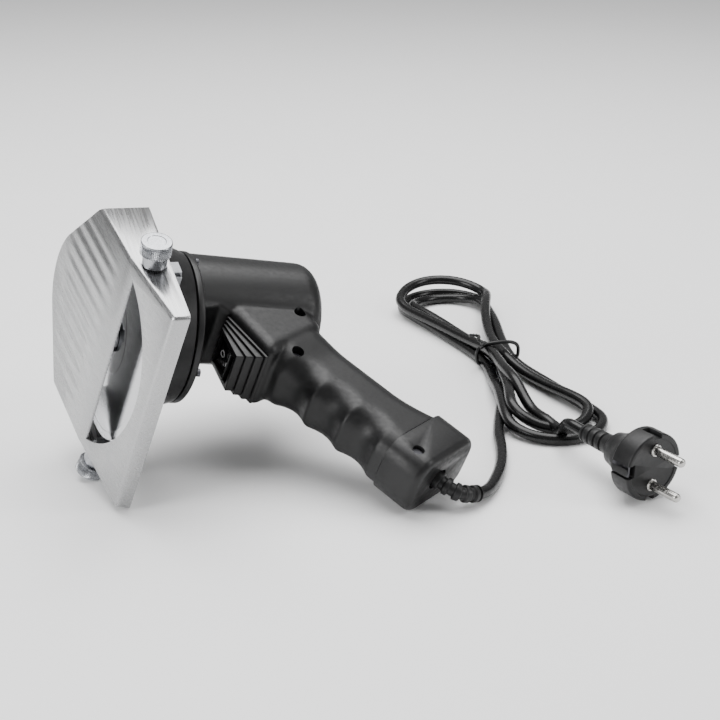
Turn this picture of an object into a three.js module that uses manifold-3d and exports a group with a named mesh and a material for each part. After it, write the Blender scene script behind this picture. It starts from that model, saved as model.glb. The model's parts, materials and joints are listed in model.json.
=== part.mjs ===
import * as THREE from 'three';
import { mergeVertices } from 'three/addons/utils/BufferGeometryUtils.js';
import Module from 'manifold-3d';

const wasm = await Module();
wasm.setup();

// Hand-held electric slicer with a round blade behind a stainless guard.
// Lengths are millimetres. The knife is drawn upright in its own frame: X runs forward along the
// blade's shaft, Y to the user's left, Z up, and the blade's centre stands over the origin.
// The finished knife is then laid on its right side, the way it rests on a table.

// Driving sizes
const bladeRadius = 54;
const bladeThickness = 1.5;
const guardHalfWidth = 61;
const guardDepthTop = 24;
const guardLipDepth = 8;
const guardTop = 61;
const guardBottom = -65;
const sheet = 1.2;
const flareAngle = THREE.MathUtils.degToRad(9);
const barrelRadius = 29.5;
const barrelLength = 78;
const handleRake = THREE.MathUtils.degToRad(32);
const handleLength = 138;
const gripHalfDepth = 21;
const gripHalfWidth = 16.5;
const wall = 2.5;
const gap = 0.3;

// Sizes that follow from them
const slotRadius = bladeRadius + 2;
const slotChord = -0.43 * bladeRadius;
const bendHeight = slotChord + 7;
const flangeTop = 0.43 * guardTop;
const bladeFront = guardLipDepth + 1;
const slopeRise = 10.5;
const guardTravel = 3;
const bendDepth = guardLipDepth + slopeRise;
const slideGap = guardTravel * Math.tan(flareAngle) + 0.1;

const caseRadius = 40;
const caseFrontRadius = 46;
const caseCentre = 9.5;
const caseFront = -5;
const caseBack = caseFront - 19;
const plateBack = caseBack - gap - 3.7;
const shellFront = plateBack - gap;

const gearModule = 1;
const drivenTeeth = 42;
const pinionTeeth = 12;
const motorHeight = (gearModule * (drivenTeeth + pinionTeeth)) / 2;
const gearFront = caseFront - 9;
const gearWidth = 7;

const shaftRadius = 5;
const motorShaftRadius = 2.5;
const runningGap = 0.05;
const barrelBack = shellFront - barrelLength;
const canRadius = Math.min(0.65 * barrelRadius, motorHeight - 7.8);
const canFront = shellFront - 11;
const canLength = 44;
const canBack = canFront - canLength;
const plateThickness = 2.6;

const capLength = 23;
const capHalfDepth = 25;
const capCornerRadius = 11;
const gripCentre = 62;
const capCentre = gripCentre + 3.5;
const cordRadius = 3.2;

const screwReach = 14;
const screwX = 8;
const screwZ = slotChord;
const headRadius = 7.6;
const studRadius = 2.45;

// Solid helpers
function solid(geometry) {
  const bare = geometry.clone();
  bare.deleteAttribute('normal');
  bare.deleteAttribute('uv');
  const merged = mergeVertices(bare, 1e-4);
  const vertProperties = new Float32Array(merged.attributes.position.array);
  const triVerts = new Uint32Array(merged.index.array);
  return new wasm.Manifold(new wasm.Mesh({ numProp: 3, vertProperties, triVerts }));
}

function geometryOf(shape) {
  const mesh = shape.getMesh();
  const geometry = new THREE.BufferGeometry();
  geometry.setAttribute('position', new THREE.BufferAttribute(mesh.vertProperties, 3));
  geometry.setIndex(new THREE.BufferAttribute(mesh.triVerts, 1));
  const flat = geometry.toNonIndexed();
  flat.computeVertexNormals();
  return flat;
}

function box(x0, x1, y0, y1, z0, z1) {
  const geometry = new THREE.BoxGeometry(x1 - x0, y1 - y0, z1 - z0);
  geometry.translate((x0 + x1) / 2, (y0 + y1) / 2, (z0 + z1) / 2);
  return solid(geometry);
}

// Round bar along X from x0 to x1 about the line y, z
function barX(radius, x0, x1, y = 0, z = 0, sides = 32) {
  const geometry = new THREE.CylinderGeometry(radius, radius, x1 - x0, sides);
  geometry.rotateZ(-Math.PI / 2);
  geometry.translate((x0 + x1) / 2, y, z);
  return solid(geometry);
}

// Round bar along Y from y0 to y1 about the line x, z
function barY(radius, y0, y1, x = 0, z = 0, sides = 20) {
  const geometry = new THREE.CylinderGeometry(radius, radius, y1 - y0, sides);
  geometry.translate(x, (y0 + y1) / 2, z);
  return solid(geometry);
}

// Solid of revolution about Y: corners are [radius, height] pairs, closed on the axis or on itself
function turned(corners, sides = 32) {
  const profile = corners.map(([radius, height]) => new THREE.Vector2(radius, height));
  return new THREE.LatheGeometry(profile, sides);
}

// The same about X, through the height z
function turnedX(corners, z = 0, sides = 32) {
  const geometry = turned(corners, sides);
  geometry.rotateZ(-Math.PI / 2);
  geometry.translate(0, 0, z);
  return solid(geometry);
}

function ringX(outer, inner, x0, x1, z = 0, sides = 32) {
  return barX(outer, x0, x1, 0, z, sides).subtract(barX(inner, x0 - 1, x1 + 1, 0, z, sides));
}

// Outline in the X-Z plane pulled along Y from -half to +half
function sidePrism(corners, half) {
  const outline = new THREE.Shape(corners.map(([x, z]) => new THREE.Vector2(x, z)));
  const geometry = new THREE.ExtrudeGeometry(outline, { depth: 2 * half, bevelEnabled: false });
  geometry.translate(0, 0, -half);
  geometry.rotateX(Math.PI / 2);
  return solid(geometry);
}

// The same with its long edges rounded off by the given amount
function softPrism(corners, half, rounding) {
  const outline = new THREE.Shape(corners.map(([x, z]) => new THREE.Vector2(x, z)));
  const geometry = new THREE.ExtrudeGeometry(outline, {
    depth: 2 * (half - rounding),
    bevelEnabled: true,
    bevelThickness: rounding,
    bevelSize: rounding,
    bevelOffset: -rounding,
    bevelSegments: 3,
  });
  geometry.translate(0, 0, rounding - half);
  geometry.rotateX(Math.PI / 2);
  return solid(geometry);
}

// Outline in the Y-Z plane pulled along X from x0 to x1
function frontPrism(outline, x0, x1) {
  const settings = { depth: x1 - x0, bevelEnabled: false, curveSegments: 14 };
  const geometry = new THREE.ExtrudeGeometry(outline, settings);
  geometry.rotateX(Math.PI / 2);
  geometry.rotateZ(Math.PI / 2);
  geometry.translate(x0, 0, 0);
  return solid(geometry);
}

function metal(colour, roughness) {
  return new THREE.MeshStandardMaterial({ color: colour, roughness, metalness: 1 });
}

function plastic(colour, roughness) {
  return new THREE.MeshStandardMaterial({ color: colour, roughness, metalness: 0 });
}

const knife = new THREE.Group();

function place(name, shape, material, parent = knife) {
  const geometry = shape.isBufferGeometry ? shape : geometryOf(shape);
  const mesh = new THREE.Mesh(geometry, material);
  mesh.name = name;
  parent.add(mesh);
  return mesh;
}

// Guard: pressed sheet with a ribbed upper sole, a sloping lower face with the half-moon slot,
// two flared side flanges and a short lip along the bottom edge.
function soleProfile(inset) {
  const slope = (guardDepthTop - bendDepth) / (flangeTop - bendHeight);
  const slopeTop = guardDepthTop + (guardTop - flangeTop) * slope;
  const back = inset > 0 ? -10 : 0;
  const top = inset > 0 ? guardTop + 10 : guardTop;
  const bottom = guardBottom + inset;
  return [
    [back, bottom],
    [guardLipDepth - inset, bottom],
    [bendDepth - inset, bendHeight],
    [slopeTop - inset + (top - guardTop) * 0.13, top],
    [back, top],
  ];
}

function flareBlock(inset) {
  const reach = 45;
  const narrow = guardHalfWidth - inset - reach * Math.tan(flareAngle);
  const wide = guardHalfWidth - inset + 12 * Math.tan(flareAngle);
  const outline = new THREE.Shape();
  outline.moveTo(-12, -wide);
  outline.lineTo(reach, -narrow);
  outline.lineTo(reach, narrow);
  outline.lineTo(-12, wide);
  outline.closePath();
  const geometry = new THREE.ExtrudeGeometry(outline, { depth: 180, bevelEnabled: false });
  geometry.translate(0, 0, -90);
  return solid(geometry);
}

// Front view of the guard: straight sides, then slants up to a round top
function guardOutline() {
  const shoulder = guardHalfWidth - guardDepthTop * Math.tan(flareAngle);
  const slant = THREE.MathUtils.degToRad(39);
  const crown = 0.62 * guardHalfWidth;
  const crownCentre = guardTop - crown;
  const outline = new THREE.Shape();
  outline.moveTo(-guardHalfWidth - 2, guardBottom - 1);
  outline.lineTo(guardHalfWidth + 2, guardBottom - 1);
  outline.lineTo(guardHalfWidth + 2, flangeTop);
  outline.lineTo(shoulder, flangeTop);
  outline.absarc(0, crownCentre, crown, Math.PI / 2 - slant, Math.PI / 2 + slant, false);
  outline.lineTo(-shoulder, flangeTop);
  outline.lineTo(-guardHalfWidth - 2, flangeTop);
  outline.closePath();
  return outline;
}

function bladeSlot() {
  const round = barX(slotRadius, guardLipDepth - 8, 40, 0, 0, 64);
  return round.intersect(box(-1, 45, -slotRadius, slotRadius, -slotRadius - 1, slotChord));
}

// Frame of one thumb screw: its Y axis leaves the flange squarely
function flangeFrame(side) {
  const frame = new THREE.Object3D();
  const reach = guardHalfWidth - screwX * Math.tan(flareAngle);
  frame.position.set(screwX, side * reach, screwZ);
  frame.rotation.set(side > 0 ? 0 : Math.PI, 0, -side * flareAngle, 'ZYX');
  frame.updateMatrix();
  return frame;
}

function inFrame(shape, frame) {
  const geometry = geometryOf(shape);
  geometry.applyMatrix4(frame.matrix);
  return solid(geometry);
}

function adjustingSlot(side) {
  const half = 2.8;
  const ends = [-guardTravel, guardTravel];
  let slot = box(-guardTravel, guardTravel, -6, 6, -half, half);
  for (const end of ends) {
    slot = slot.add(barY(half, -6, 6, end, 0, 24));
  }
  return inFrame(slot, flangeFrame(side));
}

function bladeGuard() {
  let shape = sidePrism(soleProfile(0), guardHalfWidth + 4).intersect(flareBlock(0));
  const inner = sidePrism(soleProfile(sheet), guardHalfWidth + 4).intersect(flareBlock(sheet));
  shape = shape.subtract(inner).intersect(frontPrism(guardOutline(), -2, 60));
  shape = shape.subtract(bladeSlot());
  return shape.subtract(adjustingSlot(1)).subtract(adjustingSlot(-1));
}

// Thumb screw: plain top, knurled band, collar bearing on the flange, and a plain shank
function thumbScrewHead() {
  const collar = 6;
  const corners = [
    [0, slideGap],
    [collar, slideGap],
    [collar, screwReach - 7.5],
    [headRadius - 1, screwReach - 7.5],
    [headRadius, screwReach - 6.5],
    [headRadius, screwReach - 0.8],
    [headRadius - 0.8, screwReach],
    [0, screwReach],
  ];
  return turned(corners, 28);
}

// Threaded stud pressed into the head: it passes through the guard's slot into the bracket's ear
function thumbScrewStud() {
  const foot = slideGap - gap;
  return turned([[0, -6.5], [studRadius, -6.5], [studRadius, foot], [0, foot]], 16);
}

function addThumbScrew(sideName, side) {
  const head = place(`thumb_screw_${sideName}`, thumbScrewHead(), metal(0xd8dade, 0.12));
  const stud = place(`screw_stud_${sideName}`, thumbScrewStud(), metal(0xb4b6ba, 0.3));
  head.applyMatrix4(flangeFrame(side).matrix);
  stud.applyMatrix4(flangeFrame(side).matrix);
}

// Cross bar behind the blade whose turned ends carry the thumb screws
function guardBracket() {
  const thickness = 2.6;
  const back = caseFront + gap;
  const half = 6.5;
  const end = guardHalfWidth - sheet - 1.8;
  let shape = box(back, back + thickness, -end, end, screwZ - half, screwZ + half);
  for (const side of [1, -1]) {
    const frame = flangeFrame(side);
    const boss = barY(4, -6.8, -4, 0, 0, 16);
    const ear = box(back - screwX, 3.5, -4.6, -sheet - slideGap, -4.2, 4.2).add(boss);
    shape = shape.add(inFrame(ear, frame));
    shape = shape.subtract(inFrame(barY(2.5, -20, 1, 0, 0, 16), frame));
    shape = shape.subtract(barX(2.2, back - 1, back + 5, side * 20, screwZ, 14));
  }
  return shape;
}

function bracketScrew(side) {
  const back = caseFront + gap + 2.6 + gap;
  const head = barX(3.6, back, back + 2, side * 20, screwZ, 16);
  return head.add(barX(1.9, back - 11, back + 0.5, side * 20, screwZ, 14));
}

// Blade: flat steel disc, ground to an edge on its back face
function blade() {
  const back = bladeFront - bladeThickness;
  return turnedX([
    [shaftRadius + gap, back],
    [bladeRadius - 5, back],
    [bladeRadius, bladeFront - 0.3],
    [bladeRadius, bladeFront],
    [shaftRadius + gap, bladeFront],
    [shaftRadius + gap, back],
  ], 0, 64);
}

function bladeNut() {
  const front = bladeFront + gap;
  const flange = barX(9, front, front + 1.6, 0, 0, 36);
  const hexagon = barX(6, front + 1.2, front + 3.4, 0, 0, 6);
  return flange.add(hexagon).subtract(barX(shaftRadius - 1 + gap, front - 1, front + 2, 0, 0, 16));
}

function bladeHub() {
  const back = bladeFront - bladeThickness - gap;
  return ringX(10, shaftRadius + gap, caseFront + 2.5, back, 0, 36);
}

function bladeShaft() {
  return barX(shaftRadius, plateBack + 0.8, bladeFront, 0, 0, 36)
    .add(barX(shaftRadius - 1, bladeFront - 1, bladeFront + gap + 1.5, 0, 0, 36));
}

// Gear outline with straight-flanked teeth, turned by the given angle
function gearOutline(teeth, turn) {
  const pitch = (gearModule * teeth) / 2;
  const outline = new THREE.Shape();
  const step = (2 * Math.PI) / teeth;
  const corners = [[-0.31, -1.2], [-0.11, 0.85], [0.11, 0.85], [0.31, -1.2]];
  for (let tooth = 0; tooth < teeth; tooth += 1) {
    corners.forEach(([across, height], index) => {
      const angle = turn + (tooth + across) * step;
      const radius = pitch + height * gearModule;
      const x = radius * Math.cos(angle);
      const y = radius * Math.sin(angle);
      if (tooth === 0 && index === 0) {
        outline.moveTo(x, y);
      } else {
        outline.lineTo(x, y);
      }
    });
  }
  outline.closePath();
  return outline;
}

function gear(teeth, turn, height, bore) {
  const outline = gearOutline(teeth, turn);
  const hole = new THREE.Path();
  hole.absarc(0, 0, bore, 0, 2 * Math.PI, true);
  outline.holes.push(hole);
  const settings = { depth: gearWidth, bevelEnabled: false, curveSegments: 16 };
  const geometry = new THREE.ExtrudeGeometry(outline, settings);
  geometry.rotateX(Math.PI / 2);
  geometry.rotateZ(Math.PI / 2);
  geometry.translate(gearFront - gearWidth, 0, height);
  return solid(geometry);
}

// Gear case: a cup that narrows towards the back, closed by a plate
function caseScrewAngles() {
  return [0.06, 0.94, 1.5].map((turn) => turn * Math.PI);
}

function gearCase() {
  const hollow = caseRadius - 4.5;
  let shape = turnedX([
    [0, caseBack],
    [caseRadius, caseBack],
    [caseFrontRadius, caseFront - 3],
    [caseFrontRadius - 1.5, caseFront],
    [0, caseFront],
  ], caseCentre, 40);
  shape = shape.subtract(barX(hollow, caseBack - 1, caseFront - 3.5, 0, caseCentre, 32));
  shape = shape.add(barX(11.5, caseFront - 8, caseFront - 3, 0, 0, 32));
  shape = shape.add(barX(8, caseFront - 8, caseFront - 3, 0, motorHeight, 32));
  shape = shape.subtract(barX(8 + gap, caseFront - 9, caseFront + 1, 0, 0, 32));
  shape = shape.subtract(barX(motorShaftRadius + 0.6, caseFront - 9, caseFront - 2, 0, motorHeight, 18));
  for (const side of [1, -1]) {
    shape = shape.subtract(barX(2.2, caseFront - 8.8, caseFront + 1, side * 20, screwZ, 14));
  }
  for (const angle of caseScrewAngles()) {
    const y = (caseRadius - 2.4) * Math.cos(angle);
    const z = caseCentre + (caseRadius - 2.4) * Math.sin(angle);
    shape = shape.subtract(barX(1.15, caseBack - 1, caseBack + 9, y, z, 16));
  }
  return shape;
}

function gearCasePlate() {
  const front = caseBack - gap;
  let shape = barX(caseRadius, plateBack, front, 0, caseCentre, 40);
  shape = shape.subtract(barX(7 + gap, plateBack - 1, front + 1, 0, 0, 32));
  shape = shape.subtract(barX(7.5, plateBack - 1, front + 1, 0, motorHeight, 32));
  for (const angle of caseScrewAngles()) {
    const y = (caseRadius - 2.4) * Math.cos(angle);
    const z = caseCentre + (caseRadius - 2.4) * Math.sin(angle);
    shape = shape.subtract(barX(1.15, plateBack - 1, front + 1, y, z, 16));
  }
  return shape;
}

function caseScrew(angle) {
  const y = (caseRadius - 2.4) * Math.cos(angle);
  const z = caseCentre + (caseRadius - 2.4) * Math.sin(angle);
  const head = barX(2.1, plateBack - gap - 1.6, plateBack - gap, y, z, 16);
  return head.add(barX(0.85, plateBack - 0.5, caseBack + 7, y, z, 12));
}

// Motor parts, all on the motor's line
function motorCan() {
  return ringX(canRadius, canRadius - 3, canFront - canLength, canFront, motorHeight, 40);
}

function motorMagnet(side) {
  const back = canFront - canLength + 12;
  const shape = ringX(canRadius - 3 - gap, canRadius - 8, back, canFront - 6, motorHeight, 40);
  const reach = canRadius + 1;
  const half = 14;
  const y0 = side > 0 ? 4 : -reach;
  const y1 = side > 0 ? reach : -4;
  return shape.intersect(box(-200, 0, y0, y1, motorHeight - half, motorHeight + half));
}

function motorPlate(back) {
  return ringX(canRadius - 3 - gap, 5 + gap, back, back + plateThickness, motorHeight, 32);
}

function motorBearing(back) {
  return ringX(5, motorShaftRadius + runningGap, back, back + plateThickness, motorHeight, 20);
}

// Laminated core with winding slots between its poles
function armature() {
  const core = canRadius - 9;
  const front = canFront - 8;
  const back = canFront - canLength + 16;
  let shape = barX(core, back, front, 0, motorHeight, 32);
  const poles = 10;
  for (let pole = 0; pole < poles; pole += 1) {
    const angle = ((pole + 0.5) / poles) * 2 * Math.PI;
    const y = (core - 1) * Math.cos(angle);
    const z = motorHeight + (core - 1) * Math.sin(angle);
    shape = shape.subtract(barX(1.6, back - 1, front + 1, y, z, 8));
  }
  return shape.subtract(barX(motorShaftRadius + gap, back - 1, front + 1, 0, motorHeight, 18));
}

function motorShaft() {
  const back = canFront - canLength - 6;
  return barX(motorShaftRadius, back, caseFront - 4.5, 0, motorHeight, 28);
}

function commutator() {
  const back = canFront - canLength + 3;
  return ringX(6.5, motorShaftRadius + gap, back, back + 9, motorHeight, 18);
}

function brush(side) {
  const back = canFront - canLength + 4.5;
  const y0 = side > 0 ? 6.5 + gap : -canRadius + 6;
  const y1 = side > 0 ? canRadius - 6 : -6.5 - gap;
  return box(back, back + 6, y0, y1, motorHeight - 2.5, motorHeight + 2.5);
}

function coolingFan() {
  const back = canFront + 4.5;
  const front = shellFront - 3.5;
  let shape = barX(6, back, front, 0, motorHeight, 18);
  const blades = 9;
  for (let index = 0; index < blades; index += 1) {
    const geometry = new THREE.BoxGeometry(front - back - 0.6, 1.2, canRadius - 9);
    geometry.translate((front + back) / 2, 0, 4 + (canRadius - 9) / 2);
    geometry.rotateX((index / blades) * 2 * Math.PI);
    geometry.translate(0, 0, motorHeight);
    shape = shape.add(solid(geometry));
  }
  return shape.subtract(barX(motorShaftRadius + gap, back - 1, front + 1, 0, motorHeight, 18));
}

// Handle frame: "down" runs along the handle from the blade's shaft line, "fore" across it to the front
function gripX(down, fore) {
  return fore * Math.cos(handleRake) - down * Math.sin(handleRake);
}

function gripZ(down, fore) {
  return -fore * Math.sin(handleRake) - down * Math.cos(handleRake);
}

function roundedBox(halfDepth, halfWidth, radius) {
  const outline = new THREE.Shape();
  const x = halfDepth - radius;
  const y = halfWidth - radius;
  outline.absarc(x, y, radius, 0, Math.PI / 2, false);
  outline.absarc(-x, y, radius, Math.PI / 2, Math.PI, false);
  outline.absarc(-x, -y, radius, Math.PI, 1.5 * Math.PI, false);
  outline.absarc(x, -y, radius, 1.5 * Math.PI, 2 * Math.PI, false);
  return outline;
}

// Length of handle-shaped bar between two distances down the handle, about a line "centre" behind the shaft
function gripBar(halfDepth, halfWidth, radius, centre, from, to, rounding = 0) {
  const settings = { depth: to - from - 2 * rounding, bevelEnabled: false, curveSegments: 5 };
  if (rounding > 0) {
    Object.assign(settings, { bevelEnabled: true, bevelThickness: rounding, bevelSize: rounding });
    Object.assign(settings, { bevelOffset: -rounding, bevelSegments: 2 });
  }
  const geometry = new THREE.ExtrudeGeometry(roundedBox(halfDepth, halfWidth, radius), settings);
  geometry.translate(-centre, 0, from + rounding);
  const toKnife = new THREE.Matrix4().makeBasis(
    new THREE.Vector3(gripX(0, 1), 0, gripZ(0, 1)),
    new THREE.Vector3(0, -1, 0),
    new THREE.Vector3(gripX(1, 0), 0, gripZ(1, 0)),
  );
  geometry.applyMatrix4(toKnife);
  return solid(geometry);
}

function crossBar(radius, down, fore, half = 60, sides = 28) {
  return barY(radius, -half, half, gripX(down, fore), gripZ(down, fore), sides);
}

const switchLow = [-62.5, -33];
const switchHigh = [-50, 2];

function barrelBar(inset) {
  const radius = barrelRadius - inset;
  const back = barrelBack + inset;
  const round = 9;
  const corners = [[0, back]];
  const steps = 4;
  for (let step = 0; step <= steps; step += 1) {
    const turn = (step / steps) * (Math.PI / 2);
    corners.push([radius - round + round * Math.sin(turn), back + round - round * Math.cos(turn)]);
  }
  const front = shellFront - inset;
  corners.push([radius, front], [0, front]);
  return turnedX(corners, motorHeight, 44);
}

// Side cheeks that carry the barrel into the handle
const backCorner = [gripX(72, -gripCentre - gripHalfDepth), gripZ(72, -gripCentre - gripHalfDepth)];

function cheeks() {
  const front = [[shellFront, 18], [shellFront, -4], switchHigh];
  return softPrism([...front, switchLow, backCorner, [-99, 2], [-101, 18]], 20, 5);
}

function cheeksInside() {
  const inner = [[shellFront - 3, 18], [shellFront - 3, -4], switchHigh, [switchLow[0] - 3, switchLow[1]]];
  return sidePrism([...inner, [backCorner[0] + 3.5, backCorner[1]], [-96, 2], [-98, 18]], 16.5);
}

// Everything in front of the handle and below the arch that the forefinger fits under
function fingerSpace(inset) {
  const arch = [[shellFront + 2, 0.5], [-36, 2.5], [-44, 4.5], switchHigh, switchLow];
  const edge = arch.map(([x, z]) => [x - 0.8 * inset, z + inset]);
  return sidePrism([...edge, [-40, -60], [10, -60], [10, 0.5 + inset]], 40);
}

function bodyOutside() {
  let grip = gripBar(gripHalfDepth, gripHalfWidth, 13, gripCentre, 40, handleLength);
  const foot = [handleLength - 5, handleLength];
  grip = grip.add(gripBar(capHalfDepth - 1.5, gripHalfWidth, 12, capCentre - 0.5, ...foot));
  for (const down of [78, 99, 121]) {
    grip = grip.subtract(crossBar(13, down, -gripCentre + gripHalfDepth + 10));
  }
  return grip.add(cheeks()).add(barrelBar(0)).subtract(fingerSpace(0));
}

function bodyInside() {
  const halfDepth = gripHalfDepth - wall - 3.5;
  const core = gripBar(halfDepth, gripHalfWidth - wall, 10, gripCentre + 2.5, 40, handleLength + 2);
  const hollow = barrelBar(wall).add(cheeksInside()).add(core).subtract(fingerSpace(wall));
  const doorway = barX(16, shellFront - 4, shellFront + 2, 0, motorHeight, 36);
  const well = sidePrism([[-30, -5], [-30, -25.5], [-75, -25.5], [-75, -5]], 9.5);
  return hollow.add(doorway).add(well);
}

const bodyScrews = [
  { x: -89, z: 3, outer: 19 },
  { x: -79, z: -28, outer: 17 },
];

function screwPillars() {
  let pillars = null;
  for (const { x, z } of bodyScrews) {
    const pillar = barY(4.2, -17.5, 17.5, x, z, 16);
    pillars = pillars === null ? pillar : pillars.add(pillar);
  }
  return pillars;
}

// Ribs inside the barrel that hold the motor can
function motorRibs() {
  let ribs = ringX(barrelRadius - 1, canRadius + gap, canFront - 12, canFront - 9.5, motorHeight, 32);
  ribs = ribs.add(ringX(barrelRadius - 1, canRadius + gap, canBack + 8, canBack + 10.5, motorHeight, 32));
  return ribs.subtract(fingerSpace(0));
}

function bodyShell(side) {
  let shape = bodyOutside().subtract(bodyInside()).add(screwPillars()).add(motorRibs());
  shape = shape.subtract(switchBlock(gap));
  const split = gap / 2;
  const half = side > 0 ? box(-260, 20, split, 60, -260, 90) : box(-260, 20, -60, -split, -260, 90);
  shape = shape.intersect(half);
  for (const { x, z, outer } of bodyScrews) {
    if (side > 0) {
      shape = shape.subtract(barY(3.2, outer - 5, 40, x, z, 16)).subtract(barY(1.8, -20, 40, x, z, 14));
    } else {
      shape = shape.subtract(barY(1.5, -12, 10, x, z, 14));
    }
  }
  return shape;
}

function bodyScrew({ x, z, outer }) {
  const head = outer - 5 + gap;
  return barY(2.8, head, head + 2, x, z, 16).add(barY(1.3, -10, head + 0.5, x, z, 16));
}

// End cap: closes the handle's foot and carries the cord's strain relief
function endCap() {
  const from = handleLength + gap;
  const to = handleLength + capLength;
  const above = gripBar(60, 60, 5, capCentre, from - 20, from);
  const whole = gripBar(capHalfDepth, gripHalfWidth + 0.5, capCornerRadius, capCentre, from - 8, to, 3);
  let shape = whole.subtract(above);
  const hollow = gripBar(capHalfDepth - wall, gripHalfWidth + 0.5 - wall, 9, capCentre, from - 1, to - 3.5);
  shape = shape.subtract(hollow);
  shape = shape.subtract(gripBar(5.3, 5.3, 5.2, gripCentre, to - 8, to + 2));
  const hole = gripX(handleLength + 12, -gripCentre + 12);
  return shape.subtract(barY(3, 5, 40, hole, gripZ(handleLength + 12, -gripCentre + 12), 24))
    .subtract(capBackHole(3, 12));
}

function capBackHole(radius, length) {
  const geometry = new THREE.CylinderGeometry(radius, radius, length, 20);
  geometry.rotateZ(Math.PI / 2);
  geometry.translate(-capCentre - capHalfDepth, 0, handleLength + 9);
  const toKnife = new THREE.Matrix4().makeBasis(
    new THREE.Vector3(gripX(0, 1), 0, gripZ(0, 1)),
    new THREE.Vector3(0, -1, 0),
    new THREE.Vector3(gripX(1, 0), 0, gripZ(1, 0)),
  );
  geometry.applyMatrix4(toKnife);
  return solid(geometry);
}

// Screws of the end cap: one enters from the left side, one from the back
function capSideScrew() {
  const x = gripX(handleLength + 12, -gripCentre + 12);
  const z = gripZ(handleLength + 12, -gripCentre + 12);
  const shank = barY(1.2, 4, gripHalfWidth - 3, x, z, 12);
  return barY(2.6, gripHalfWidth - 3.5, gripHalfWidth - 1.5, x, z, 14).add(shank);
}

function capBackScrew() {
  return capBackHole(2.6, 3);
}

// Rocker switch: housing in the handle, stepped bezel around it, and the rocker itself
const rockerPivot = [-50, -15.5];
const rockerReach = 9.4;

function switchBlock(margin) {
  const reach = 9 + margin;
  const half = 8.2 + margin;
  return box(-74 - margin, -56, -half, half, rockerPivot[1] - reach, rockerPivot[1] + reach);
}

function switchBody() {
  return switchBlock(0);
}

function switchBezel() {
  const innerLow = [-48.8, -28.6];
  const innerHigh = [-47, -2.4];
  const steps = 4;
  let shape = null;
  for (let step = 0; step < steps; step += 1) {
    const share = step / (steps - 1);
    const low = switchLow.map((value, index) => THREE.MathUtils.lerp(value, innerLow[index], share));
    const high = switchHigh.map((value, index) => THREE.MathUtils.lerp(value, innerHigh[index], share));
    const front = 1.6 + gap;
    const back = step === 0 ? gap : -3.5;
    const frame = sidePrism([
      [low[0] + back, low[1] + 1],
      [low[0] + front, low[1] + 1],
      [high[0] + front, high[1] - 1],
      [high[0] + back, high[1] - 1],
    ], THREE.MathUtils.lerp(15.5, 11.5, share));
    shape = shape === null ? frame : shape.add(frame);
  }
  const lean = (switchHigh[0] - switchLow[0]) / (switchHigh[1] - switchLow[1]);
  const seat = switchLow[0] + gap + 0.1;
  const ahead = sidePrism([
    [seat - 10 * lean, switchLow[1] - 10],
    [0, switchLow[1] - 10],
    [0, switchHigh[1] + 10],
    [seat + (switchHigh[1] + 10 - switchLow[1]) * lean, switchHigh[1] + 10],
  ], 20);
  const reach = rockerReach + 0.5;
  const opening = box(-70, -40, -8.6, 8.6, rockerPivot[1] - reach, rockerPivot[1] + reach);
  return shape.intersect(ahead).subtract(opening);
}

function switchRocker() {
  const corners = [[3, -8], [5, -7.8], [2.3, 0], [3.6, 8.2], [-3, 7.5], [-3.6, 0], [-3, -7.5]];
  return sidePrism(corners, 8.2);
}

// Bar that clamps the cord against the inside of the cap
function cordClamp() {
  const halfWidth = gripHalfWidth + 0.5 - wall - gap;
  const centre = gripCentre - cordRadius - gap - 2.5;
  return gripBar(2.5, halfWidth, 1.5, centre, handleLength + 8, handleLength + 12);
}

place('blade_guard', bladeGuard(), metal(0xc9cbcd, 0.28));
addThumbScrew('left', 1);
addThumbScrew('right', -1);
place('guard_bracket', guardBracket(), metal(0x9a9da1, 0.4));
place('bracket_screw_left', bracketScrew(1), metal(0xa9acb0, 0.3));
place('bracket_screw_right', bracketScrew(-1), metal(0xa9acb0, 0.3));
place('blade', blade(), metal(0xd4d6d9, 0.12));
place('blade_nut', bladeNut(), metal(0xb9bcc0, 0.3));
place('blade_hub', bladeHub(), metal(0x9fa2a6, 0.35));
place('blade_shaft', bladeShaft(), metal(0x8d9094, 0.35));
place('driven_gear', gear(drivenTeeth, 0, 0, shaftRadius + gap), plastic(0xd9d3c0, 0.5));
place('pinion', gear(pinionTeeth, Math.PI / 2, motorHeight, motorShaftRadius + gap), metal(0xb08d4c, 0.35));
place('gear_case', gearCase(), plastic(0x17181a, 0.5));
place('gear_case_plate', gearCasePlate(), plastic(0x1b1c1e, 0.45));
caseScrewAngles().forEach((angle, index) => {
  place(`case_screw_${index + 1}`, caseScrew(angle), metal(0xa9acb0, 0.3));
});
const bearingBore = shaftRadius + runningGap;
const frontBearing = ringX(8, bearingBore, caseFront - 7.5, caseFront - 0.5, 0, 28);
const backBearing = ringX(7, bearingBore, plateBack + 0.5, caseBack - gap, 0, 28);
place('blade_bearing_front', frontBearing, metal(0x8f9296, 0.3));
place('blade_bearing_back', backBearing, metal(0xb08d4c, 0.4));
place('motor_can', motorCan(), metal(0x6e7175, 0.4));
place('motor_magnet_left', motorMagnet(1), metal(0x2c2d2f, 0.6));
place('motor_magnet_right', motorMagnet(-1), metal(0x2c2d2f, 0.6));
place('motor_plate_front', motorPlate(canFront - plateThickness), metal(0x85888c, 0.4));
place('motor_plate_back', motorPlate(canBack), metal(0x85888c, 0.4));
place('motor_bearing_front', motorBearing(canFront - plateThickness + 0.4), metal(0xb08d4c, 0.4));
place('motor_bearing_back', motorBearing(canBack - 0.4), metal(0xb08d4c, 0.4));
place('motor_shaft', motorShaft(), metal(0x9fa2a6, 0.3));
place('armature', armature(), metal(0x6a5a4c, 0.5));
place('commutator', commutator(), metal(0xb4713c, 0.35));
place('brush_left', brush(1), plastic(0x26272a, 0.7));
place('brush_right', brush(-1), plastic(0x26272a, 0.7));
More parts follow.
